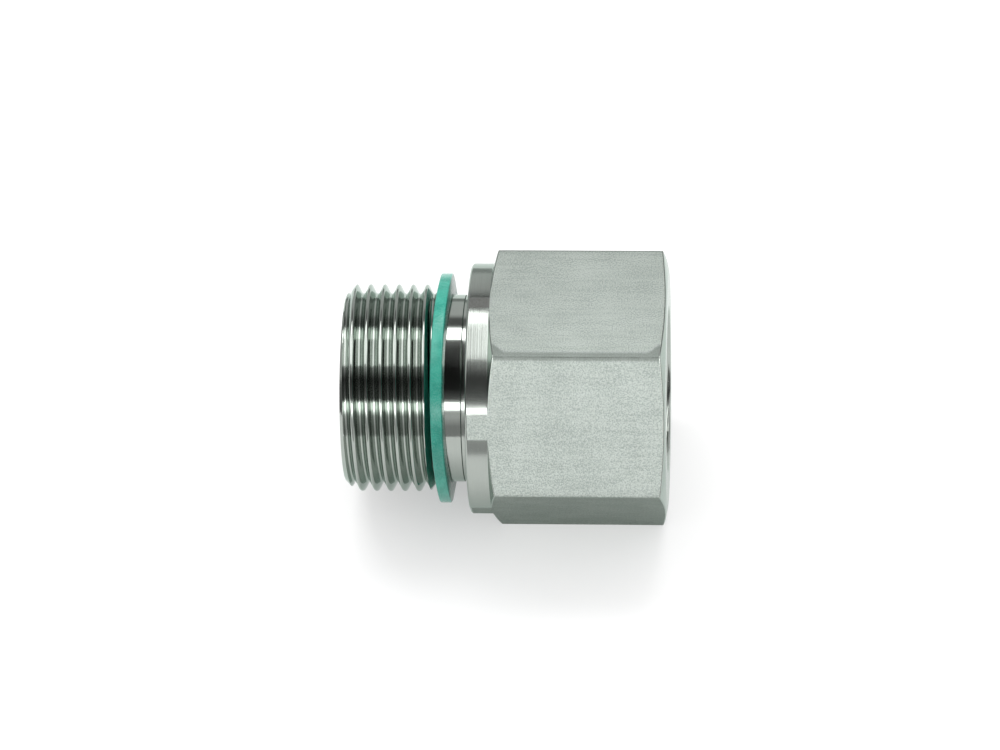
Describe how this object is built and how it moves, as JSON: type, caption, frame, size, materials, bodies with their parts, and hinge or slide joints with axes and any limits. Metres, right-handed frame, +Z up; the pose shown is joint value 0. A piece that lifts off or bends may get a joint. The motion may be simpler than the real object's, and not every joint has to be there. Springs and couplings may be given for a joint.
{
  "type": "reducer bushing",
  "caption": "Steel hexagon reducer bushing: male pipe stud with a captive green seal ring, round sealing collar and a smaller female threaded port.",
  "frame": {"origin": "on the fitting's axis, in the plane of the collar's sealing face", "axes": "+X along the axis towards the threaded port, -X towards the end of the stud, +Z up, with one flat of the hexagon underneath"},
  "size_m": [0.041, 0.0368, 0.0318],
  "materials": {
    "steel": "fine matt flats, polished thread",
    "seal": "satin"
  },
  "bodies": {
    "root": {"reducer_body": "steel", "seal_ring": "seal"}
  },
  "joints": []
}
